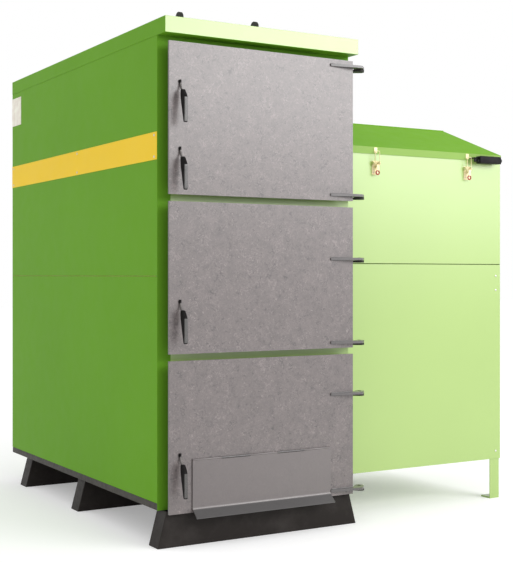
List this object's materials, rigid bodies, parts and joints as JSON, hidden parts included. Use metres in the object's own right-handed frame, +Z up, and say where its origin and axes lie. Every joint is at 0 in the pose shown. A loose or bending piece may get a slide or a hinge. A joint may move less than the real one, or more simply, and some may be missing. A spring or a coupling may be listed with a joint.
{
  "type": "pellet boiler",
  "caption": "Tall steel pellet boiler with swing doors, lever handles and a draught flap, on skids, fed by an auger from a gabled hopper beside it.",
  "frame": {"origin": "on the floor, under the centre of the middle skid", "axes": "+X to the right seen from the doors, where the hopper stands; +Y to the back; +Z up; the doors face -Y"},
  "size_m": [1.8105, 1.929, 2.1199],
  "materials": {
    "casing_green": "glossy powder coat",
    "door_hammertone": "hammertone paint",
    "flap_hammertone": "hammertone paint",
    "dark_paint": "satin heat-resistant paint",
    "black_paint": "satin black paint",
    "stripe_yellow": "satin powder coat",
    "plate_cream": "plain, no print",
    "motor_paint": "satin paint",
    "mill_steel": "rolled and welded plate",
    "bare_steel": "bare",
    "zinc": "zinc plated",
    "yellow_zinc": "yellow zinc, with red finger loop",
    "cast_iron": "as cast",
    "refractory": null,
    "lagging": "mineral wool",
    "rope_seal": "glass fibre rope",
    "liner_board": null,
    "grip_black": "moulded",
    "black_plastic": "moulded"
  },
  "bodies": {
    "boiler": {"skids": "black_paint", "base_tray": "dark_paint", "chamber_shelves": "mill_steel", "water_walls": "mill_steel", "pierced_walls": "mill_steel", "front_plate": "mill_steel", "tube_bundle": "mill_steel", "turbulators": "bare_steel", "refractory_arch": "refractory", "burner_retort": "cast_iron", "ash_box": "mill_steel", "insulation": "lagging", "door_seals": "rope_seal", "front_casing": "casing_green", "left_panels": "casing_green", "right_panels": "casing_green", "rear_panel": "casing_green", "top_cap": "casing_green", "side_stripe": "stripe_yellow", "casing_fasteners": "zinc", "blank_plate": "plate_cream", "lifting_lugs": "black_paint", "hinge_brackets": "dark_paint", "door_keepers": "zinc", "flue_outlet": "dark_paint", "water_connections": "dark_paint", "hopper_front": "casing_green", "hopper_sides": "casing_green", "hopper_rear": "casing_green", "hopper_roof": "casing_green", "hopper_stand": "casing_green", "funnel_plates": "bare_steel", "auger_tube": "dark_paint", "latch_bases": "yellow_zinc", "lid_switch": "black_plastic", "gearmotor": "motor_paint", "blower_housing": "mill_steel"},
    "top_door_body": {"top_door": "door_hammertone", "top_door_liner": "liner_board"},
    "middle_door_body": {"middle_door": "door_hammertone", "middle_door_liner": "liner_board"},
    "bottom_door_body": {"bottom_door": "door_hammertone", "bottom_door_liner": "liner_board"},
    "top_upper_handle": {"top_upper_lever": "bare_steel", "top_upper_grip": "grip_black"},
    "top_lower_handle": {"top_lower_lever": "bare_steel", "top_lower_grip": "grip_black"},
    "middle_handle": {"middle_lever": "bare_steel", "middle_grip": "grip_black"},
    "bottom_handle": {"bottom_lever": "bare_steel", "bottom_grip": "grip_black"},
    "flap": {"draught_flap": "flap_hammertone"},
    "lid": {"hopper_lid": "casing_green"},
    "left_latch": {"left_latch_lever": "yellow_zinc"},
    "left_bail": {"left_latch_bail": "zinc"},
    "right_latch": {"right_latch_lever": "yellow_zinc"},
    "right_bail": {"right_latch_bail": "zinc"},
    "switch_arm": {"switch_lever": "black_plastic"},
    "auger": {"auger_screw": "bare_steel"},
    "impeller": {"blower_wheel": "bare_steel"}
  },
  "joints": [
    {"name": "top_door_hinge", "type": "hinge", "parent": "boiler", "child": "top_door_body", "pos_m": [0.464, -0.851, 1.622], "axis": [0, 0, 1], "range_deg": [0, 135]},
    {"name": "middle_door_hinge", "type": "hinge", "parent": "boiler", "child": "middle_door_body", "pos_m": [0.464, -0.851, 1.02], "axis": [0, 0, 1], "range_deg": [0, 135]},
    {"name": "bottom_door_hinge", "type": "hinge", "parent": "boiler", "child": "bottom_door_body", "pos_m": [0.464, -0.851, 0.418], "axis": [0, 0, 1], "range_deg": [0, 135]},
    {"name": "top_upper_handle_turn", "type": "hinge", "parent": "top_door_body", "child": "top_upper_handle", "pos_m": [-0.376, -0.867, 1.757], "axis": [0, -1, 0], "range_deg": [0, 90]},
    {"name": "top_lower_handle_turn", "type": "hinge", "parent": "top_door_body", "child": "top_lower_handle", "pos_m": [-0.376, -0.867, 1.505], "axis": [0, -1, 0], "range_deg": [0, 90]},
    {"name": "middle_handle_turn", "type": "hinge", "parent": "middle_door_body", "child": "middle_handle", "pos_m": [-0.376, -0.867, 0.929], "axis": [0, -1, 0], "range_deg": [0, 90]},
    {"name": "bottom_handle_turn", "type": "hinge", "parent": "bottom_door_body", "child": "bottom_handle", "pos_m": [-0.376, -0.867, 0.351], "axis": [0, -1, 0], "range_deg": [0, 90]},
    {"name": "flap_hinge", "type": "hinge", "parent": "bottom_door_body", "child": "flap", "pos_m": [-0.002, -0.8708, 0.3295], "axis": [-1, 0, 0], "range_deg": [0, 70]},
    {"name": "lid_hinge", "type": "hinge", "parent": "boiler", "child": "lid", "pos_m": [0.911, -0.321, 1.739], "axis": [-1, 0, 0], "range_deg": [0, 115]},
    {"name": "left_latch_pivot", "type": "hinge", "parent": "boiler", "child": "left_latch", "pos_m": [0.636, -0.74, 1.512], "axis": [-1, 0, 0], "range_deg": [0, 150]},
    {"name": "left_bail_pivot", "type": "hinge", "parent": "left_latch", "child": "left_bail", "pos_m": [0.636, -0.746, 1.5], "axis": [-1, 0, 0], "range_deg": [-150, 0]},
    {"name": "right_latch_pivot", "type": "hinge", "parent": "boiler", "child": "right_latch", "pos_m": [1.151, -0.74, 1.512], "axis": [-1, 0, 0], "range_deg": [0, 150]},
    {"name": "right_bail_pivot", "type": "hinge", "parent": "right_latch", "child": "right_bail", "pos_m": [1.151, -0.746, 1.5], "axis": [-1, 0, 0], "range_deg": [-150, 0]},
    {"name": "switch_pivot", "type": "hinge", "parent": "boiler", "child": "switch_arm", "pos_m": [1.188, -0.758, 1.548], "axis": [0, 1, 0], "range_deg": [-12, 0], "stiffness_Nm_per_rad": 0.05},
    {"name": "auger_turn", "type": "hinge", "parent": "boiler", "child": "auger", "pos_m": [0.7, -0.321, 0.33], "axis": [1, 0, 0], "continuous": true},
    {"name": "impeller_turn", "type": "hinge", "parent": "boiler", "child": "impeller", "pos_m": [0.76, -0.035, 0.323], "axis": [0, 1, 0], "continuous": true}
  ],
  "couplings": [
    {"joint": "left_bail_pivot", "follows": "left_latch_pivot", "ratio": -1},
    {"joint": "right_bail_pivot", "follows": "right_latch_pivot", "ratio": -1}
  ]
}
